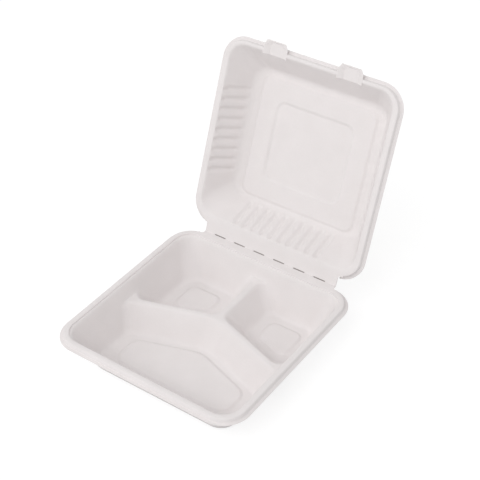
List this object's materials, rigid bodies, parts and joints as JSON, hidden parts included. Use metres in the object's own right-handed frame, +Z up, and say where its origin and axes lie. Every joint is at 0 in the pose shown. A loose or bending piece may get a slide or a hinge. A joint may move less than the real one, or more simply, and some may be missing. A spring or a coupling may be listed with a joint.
{
  "type": "hinged food box",
  "caption": "Moulded plant-fibre lunch box, standing open, with a divided tray and a fluted lid that swings shut on a slitted hinge strip.",
  "frame": {"origin": "on the table, under the middle of the open box: the middle of its width and of its overall length, at the level of the tray's foot", "axes": "+X along the hinge, to the right seen from the front; +Y from the front of the tray back to the hinge and the raised lid; +Z up"},
  "size_m": [0.2, 0.2896, 0.2274],
  "materials": {
    "tray_pulp": "matte off-white moulded pulp",
    "lid_pulp": "matte off-white moulded pulp"
  },
  "bodies": {
    "tray": {"tray": "tray_pulp"},
    "lid": {"lid": "lid_pulp"}
  },
  "joints": [
    {"name": "lid_hinge", "type": "hinge", "parent": "tray", "child": "lid", "pos_m": [0, 0.0557, 0.0417], "axis": [1, 0, 0], "range_deg": [-69, 111]}
  ]
}
